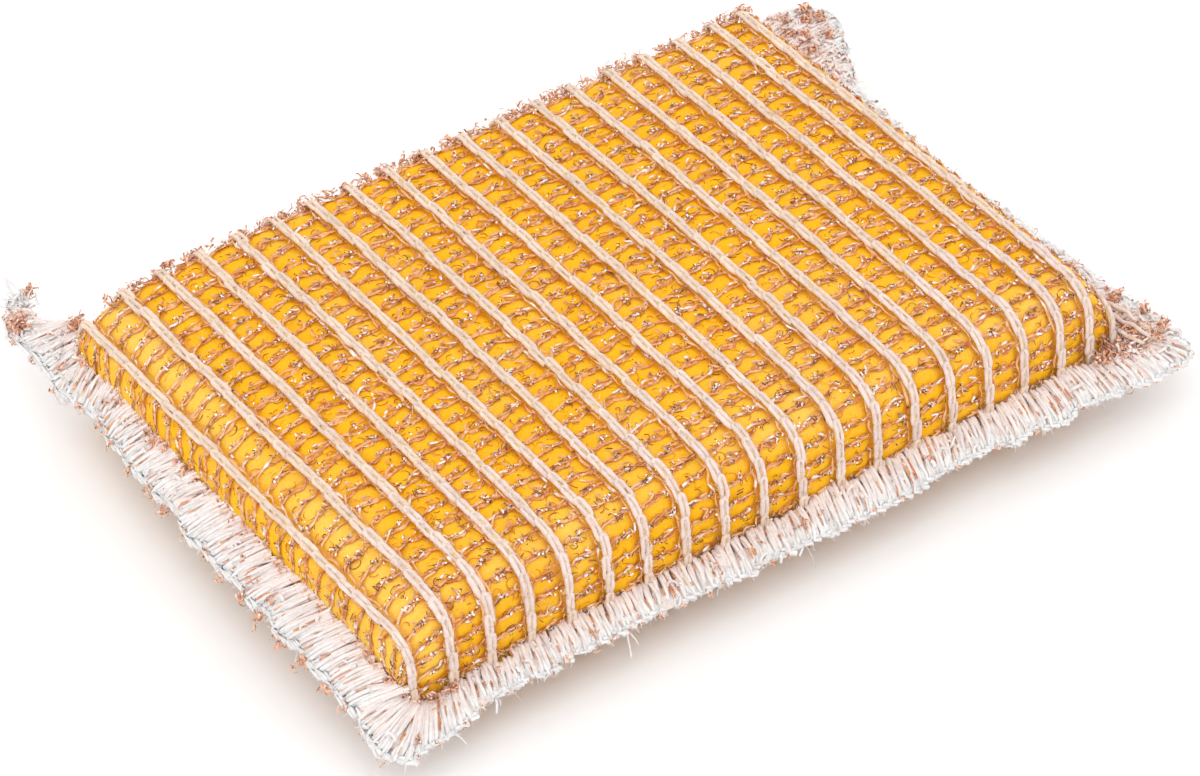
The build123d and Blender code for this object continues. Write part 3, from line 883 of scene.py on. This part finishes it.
def bind(heap, copper, rng, table, lean, scallop=0.5, curls=1.0, fluff=1.0, lower_fluff=0.3,
         tufts=(3.4, 3, 0.4), loops=0.6, tint=(1, 1, 1)):
    """Threads wound over a seam from its inner line over the rim and back under, with tape in between.

    Lean, scallop, and the spacing and reach of tufts are millimetres; loops are counted to each.
    """
    seam = seam_lines(table)
    inner, outer, thick, length = seam
    count = int(round(length[-1] / THREAD_PITCH))
    lobes = rng.uniform(6.0, 8.5) * MM
    phase = rng.uniform(0, math.pi)
    wander = spread(rng.normal(0, 1, max(4, count // 8)), count)
    inner_wander = spread(rng.normal(0, 1, max(4, count // 3)), count)
    bundle = rng.integers(2, 5)
    bundle_start = 0
    steps = 21
    top = steps // 2
    share = np.linspace(0, 1, steps)
    swing = 2 * math.pi * (share * 0.95 + 0.025)
    out = 0.5 - 0.5 * np.cos(swing)
    roll = np.abs(np.sin(swing)) ** 0.8
    profile = np.where(share < 0.5, (1 - out) * 0.75 + roll * 0.7, -roll)
    tones = blended(SEAM_INNER, SEAM_OUTER, np.clip(out * 1.3 - 0.25, 0, 1)[:, None])
    seam_core(heap, rng, inner[::20], outer[::20])
    fuzz_starts, fuzz_ways, root_starts, root_ways = [], [], [], []
    for step in range(count):
        place = length[-1] * (step + 0.5) / count
        if step >= bundle_start + bundle:
            bundle_start = step
            bundle = rng.integers(2, 5)
        bundle_middle = length[-1] * min(bundle_start + bundle / 2, count) / count
        gather = 0.2 * (bundle_middle - place) * (1 - out) ** 2
        slant = lean * MM * (out - 0.5) + rng.normal(0, 0.18) * MM * np.sin(math.pi * out)
        along = place + gather + np.where(share < 0.5, 1, -0.5) * slant + rng.normal(0, 0.09) * MM
        rim = at_length(length, outer, along)
        root = at_length(length, inner, along)
        half = at_length(length, thick, along) / 2 - THREAD_RADIUS * 0.8
        way = rim - root
        width = np.maximum(np.linalg.norm(way, axis=1), 1e-6)
        unit = way / width[:, None]
        wave = scallop * MM * (abs(math.sin(math.pi * place / lobes + phase)) - 0.6)
        wave = wave + 0.25 * MM * wander[step]
        pull = (wave + rng.normal(0, 0.22) * MM) / width
        inset = (0.4 * MM * inner_wander[step] + rng.normal(0, 0.2) * MM) / width
        points = root + way * (out * (1 + pull) + inset * (1 - out))[:, None]
        points = points - unit * (TUCK * (1 - out) ** 2)[:, None]
        points[:, 2] += half * profile + rng.normal(0, 0.08) * MM
        hints = points - (root + way * 0.5)
        side, rise = sides_of(points, hints)
        loose = spread(rng.normal(0, 0.08, (6, 3 * PLIES)), steps) * MM
        for ply in range(PLIES):
            angle = (2 * math.pi * (ply / PLIES + 0.9 * share) + step)[:, None]
            offset = (side * np.cos(angle) + rise * np.sin(angle)) * PLY_OFFSET
            line = points + offset + loose[:, 3 * ply:3 * ply + 3]
            heap.tube(line, hints, THREAD_RADIUS * rng.uniform(0.55, 0.75), flat=0.9,
                      tone=tones * rng.uniform(0.94, 1.05))
        slivers(copper, rng, points, side, rise, rng.poisson(1.9 * curls))
        for hair in range(rng.poisson(22 * fluff)):
            fuzz_starts.append(points[rng.integers(top - 5, top + 6)] + rise[top] * 0.1 * MM)
            fuzz_ways.append(unit[top] * rng.uniform(0, 0.9) + rng.normal(0, 0.6, 3))
        for hair in range(14):
            root_starts.append(points[rng.integers(0, 5)] + rng.normal(0, 0.25, 3) * MM)
            root_ways.append(rng.normal(0, 0.7, 3) - unit[top] * 0.2)
        if rng.uniform() < 0.03 * lower_fluff:
            starts = np.repeat(points[top + 2:top + 3], 3, axis=0)
            ways = unit[top] + rng.normal(0, 0.5, (3, 3))
            fibres(heap, rng, starts, ways, (1.2, 2.4), (0.3, 0.5), SEAM_OUTER, droop=0.8)
    fibres(heap, rng, np.array(fuzz_starts), np.array(fuzz_ways), (0.3, 0.95), (0.07, 0.17), SEAM_OUTER)
    fibres(heap, rng, np.array(root_starts), np.array(root_ways), (0.3, 0.8), (0.07, 0.14), SEAM_INNER)
    seam_loops(heap, rng, seam, int(length[-1] / MM * loops), tint)
    seam_tufts(copper, rng, seam, *tufts, curls)


def fray_tail(heap, copper, rng):
    """Tufts on the tail, and its frayed end."""
    for x, y, z, reach, number in TAIL_TUFTS:
        tangle(copper, rng, np.array((x, y, z)) * MM, reach * MM, number)
    yarn_loops(heap, rng, np.array((-56.4, 53.0, 11.4)) * MM, 1.4 * MM, 60, SEAM_OUTER)
    starts = np.array((-55.8, 53.4, 11.4)) * MM + rng.normal(0, 0.6, (60, 3)) * MM
    ways = np.array((-0.35, 1.0, 0.25)) + rng.normal(0, 0.5, (60, 3))
    fibres(heap, rng, starts, ways, (1.5, 4.0), (0.2, 0.5), SEAM_OUTER)


def make_seams():
    """The overlock seams, the tail and the flap, each as a piece of threads and one of tape."""
    for order, (name, nodes, table, choices) in enumerate(SEAMS):
        rng = np.random.default_rng(SEED * 90 + order)
        heap, copper = Heap(), Heap()
        bind(heap, copper, rng, table, **choices)
        if name == "seam_flap":
            for place in FLAP_CURLS:
                tangle(copper, rng, np.array(place) * MM, 0.9 * MM, 24, (1, 1, 0.4))
        if name == "seam_tail":
            fray_tail(heap, copper, rng)
        piece = heap.mesh(name, THREAD)
        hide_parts(*nodes)
        tape = copper.mesh(f"{name}_tape", TAPE, smooth=False)


def edge_curls(name, seed, points, reach, spacing, number, squash=(1, 1, 1)):
    """Curls of tape packed along a line, where the net is gathered or stands over an edge."""
    rng = np.random.default_rng(SEED * 70 + seed)
    heap = Heap()
    length = lengths_along(points)
    for spot in range(int(length[-1] / spacing)):
        centre = at_length(length, points, rng.uniform(0, length[-1]))
        tangle(heap, rng, centre, reach, rng.integers(1, number + 1), squash)
    piece = heap.mesh(name, TAPE, smooth=False)


def make_ear():
    """Ends of the last chain's yarn, drawn out over the front right corner, with loops and curls."""
    steps = 25
    rng = np.random.default_rng(SEED * 60)
    heap = Heap()
    for strand in EAR_STRANDS:
        points = spread(np.array(strand) * MM, steps) + spread(rng.normal(0, 0.18, (9, 3)), steps) * MM
        hints = np.broadcast_to(np.array((0.0, 0.0, 1.0)), (steps, 3))
        heap.tube(points, hints, 0.3 * MM, tone=YARN_WITH_FOAM_LIGHT * np.array((1.0, 1.02, 1.1)))
        starts = np.repeat(points, 8, axis=0)
        fibres(heap, rng, starts, rng.normal(0, 1, starts.shape), (0.3, 0.8), (0.06, 0.13), YARN_WITH_FOAM_LIGHT)
    for place in EAR_LOOPS:
        yarn_loops(heap, rng, np.array(place) * MM, 1.5 * MM, 34, SEAM_INNER)
    piece = heap.mesh("ear_yarn", YARN)
    copper = Heap()
    for place in EAR_CURLS:
        tangle(copper, rng, np.array(place) * MM, 0.7 * MM, 18)
    curls = copper.mesh("ear_curls", TAPE, smooth=False)


def make_gathers():
    """Curls along the side seams, at the front corners and over the back edge."""
    left = np.array(((-55.4, 40.0, 11.8), (-55.9, 20.0, 11.4), (-55.9, -34.0, 11.4), (-55.4, -39.4, 10.4),
                     (-52.4, -40.6, 8.6), (-47.0, -40.6, 8.6)))
    edge_curls("gather_left", 1, left * MM, 0.6 * MM, 0.7 * MM, 5)
    ear = np.array(((53.8, -41.4, 10.2), (56.4, -40.6, 10.6), (57.8, -37.6, 11.0), (59.2, -34.0, 11.4),
                    (60.6, -36.0, 10.9), (58.8, -39.4, 10.7), (57.4, -42.0, 10.2), (60.4, -42.4, 10.3),
                    (60.6, -38.8, 10.8), (62.2, -40.0, 10.8), (62.8, -42.8, 10.4)))
    edge_curls("gather_ear", 2, ear * MM, 1.3 * MM, 0.15 * MM, 7, (1, 1, 0.5))
    make_ear()
    right = np.array(((60.2, -28.0, 11.6), (60.0, 28.0, 11.6)))
    edge_curls("gather_right", 3, right * MM, 0.8 * MM, 1.0 * MM, 4)
    across = np.linspace(across_at(-52 * MM), across_at(56 * MM), 60)
    back = surface(across, BACK_EDGE_TURN, 0.5 * MM)
    edge_curls("gather_back", 4, back, 0.7 * MM, 0.45 * MM, 4)


def make_stage():
    """A wide white floor."""
    size = 3.0
    material, tree, shader = blank_material("stage")
    connect(tree, shader, Base_Color=(0.95, 0.95, 0.95, 1), Roughness=0.9)
    data = bpy.data.meshes.new("floor")
    corners = [(-size, -size, 0), (size, -size, 0), (size, size, 0), (-size, size, 0)]
    data.from_pydata(corners, [], [(0, 1, 2, 3)])
    data.materials.append(material)
    floor = placed("floor", data)


def make_world():
    """Even white surroundings, a little brighter as light than as seen."""
    world = bpy.data.worlds.new("surroundings")
    world.use_nodes = True
    bpy.context.scene.world = world
    tree = world.node_tree
    rays = node(tree, "LightPath")
    plain = node(tree, "Background", Color=(1, 1, 1, 1), Strength=1.0)
    soft = node(tree, "Background", Color=(1, 1, 1, 1), Strength=1.08)
    seen = node(tree, "Math")
    seen.operation = "MAXIMUM"
    tree.links.new(rays.outputs["Is Camera Ray"], seen.inputs[0])
    tree.links.new(rays.outputs["Is Glossy Ray"], seen.inputs[1])
    mix = node(tree, "MixShader", Fac=seen.outputs[0])
    tree.links.new(soft.outputs[0], mix.inputs[1])
    tree.links.new(plain.outputs[0], mix.inputs[2])
    tree.links.new(mix.outputs[0], tree.nodes["World Output"].inputs["Surface"])
    tree.nodes.remove(tree.nodes["Background"])


def make_lamp(name, place, size, power):
    """A large soft lamp aimed at the pad."""
    data = bpy.data.lights.new(name, "AREA")
    data.shape = "DISK"
    data.size = size
    data.energy = power
    lamp = placed(name, data)
    lamp.location = place
    lamp.rotation_euler = (-Vector(place)).to_track_quat("-Z", "Y").to_euler()


def make_camera():
    """The photograph's view, found by fitting the chains, the fold and the seams."""
    azimuth, elevation, roll = math.radians(-33.77), math.radians(40.36), math.radians(-1.99)
    distance = 671.0 * MM
    shift_right, shift_up = 0.33 * MM, -5.02 * MM
    level_share = math.cos(elevation)
    back = Vector((math.sin(azimuth) * level_share, -math.cos(azimuth) * level_share, math.sin(elevation)))
    level = Vector((math.cos(azimuth), math.sin(azimuth), 0))
    rise = back.cross(level)
    right = level * math.cos(roll) + rise * math.sin(roll)
    up = rise * math.cos(roll) - level * math.sin(roll)
    target = Vector((BODY_MIDDLE, 0, SEAM_HEIGHT)) + right * shift_right + up * shift_up
    data = bpy.data.cameras.new("camera")
    data.sensor_width = 36
    data.lens = 150.6
    camera = placed("camera", data)
    facing = Matrix((right, up, back)).transposed().to_4x4()
    camera.matrix_world = Matrix.Translation(target + back * distance) @ facing
    bpy.context.scene.camera = camera


make_camera()
make_stage()
make_world()
make_lamp("key", (-0.4, -0.5, 1.1), 1.0, 3.2)
make_foam()
for number, across_middle in enumerate(CHAIN_ACROSS, start=1):
    make_chain(number, across_middle)
make_lane("tape_left_side", ["tape_panel_left_side"], [SIDE_GAP, CHAIN_ACROSS[0]], 30, straight=0.5)
for number in range(1, CHAIN_COUNT):
    make_lane(f"tape_lane_{number:02d}", [f"tape_panel_{number:02d}"], CHAIN_ACROSS[number - 1:number + 1],
              number, straight=0.85 if number == 1 else 0.12)
make_lane("tape_right_shoulder", ["tape_panel_right_side"], CHAIN_ACROSS[-2:] + [ACROSS[-1] - SIDE_GAP], 31)
make_seams()
make_gathers()

bpy.context.scene.view_settings.view_transform = "Standard"
